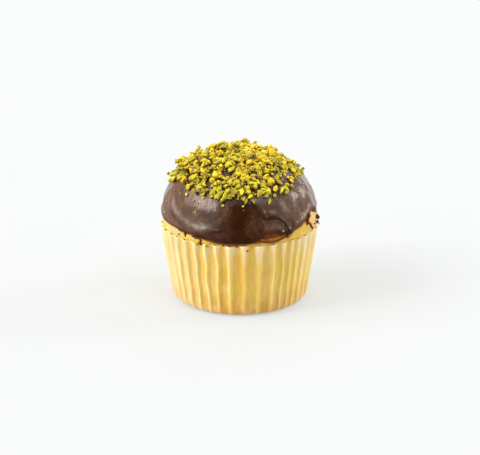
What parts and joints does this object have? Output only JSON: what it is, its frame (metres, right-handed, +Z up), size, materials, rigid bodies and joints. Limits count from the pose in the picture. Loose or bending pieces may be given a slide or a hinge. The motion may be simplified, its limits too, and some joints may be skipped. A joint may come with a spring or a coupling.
{
  "type": "cupcake",
  "caption": "Small domed sponge cake in a pleated paper case, capped with dark chocolate icing and a heap of chopped pistachios.",
  "frame": {"origin": "middle of the paper case's flat underside, on the surface that the cupcake stands on", "axes": "+Z up the cupcake's axis, -Y towards the front as pictured, +X to the right seen from the front"},
  "size_m": [0.0587, 0.0587, 0.0579],
  "materials": {
    "paper": "thin greased baking paper, pale along the pleats and golden where the cake shows through",
    "sponge": "matte golden baked sponge with a fine crumb",
    "chocolate": "satin dark chocolate with soft broad reflections",
    "pistachio": "matte chopped pistachio, bright yellow to green, with purple-brown skin on some faces"
  },
  "bodies": {
    "root": {"paper_case": "paper", "sponge_cake": "sponge", "chocolate_icing": "chocolate"}
  },
  "joints": []
}
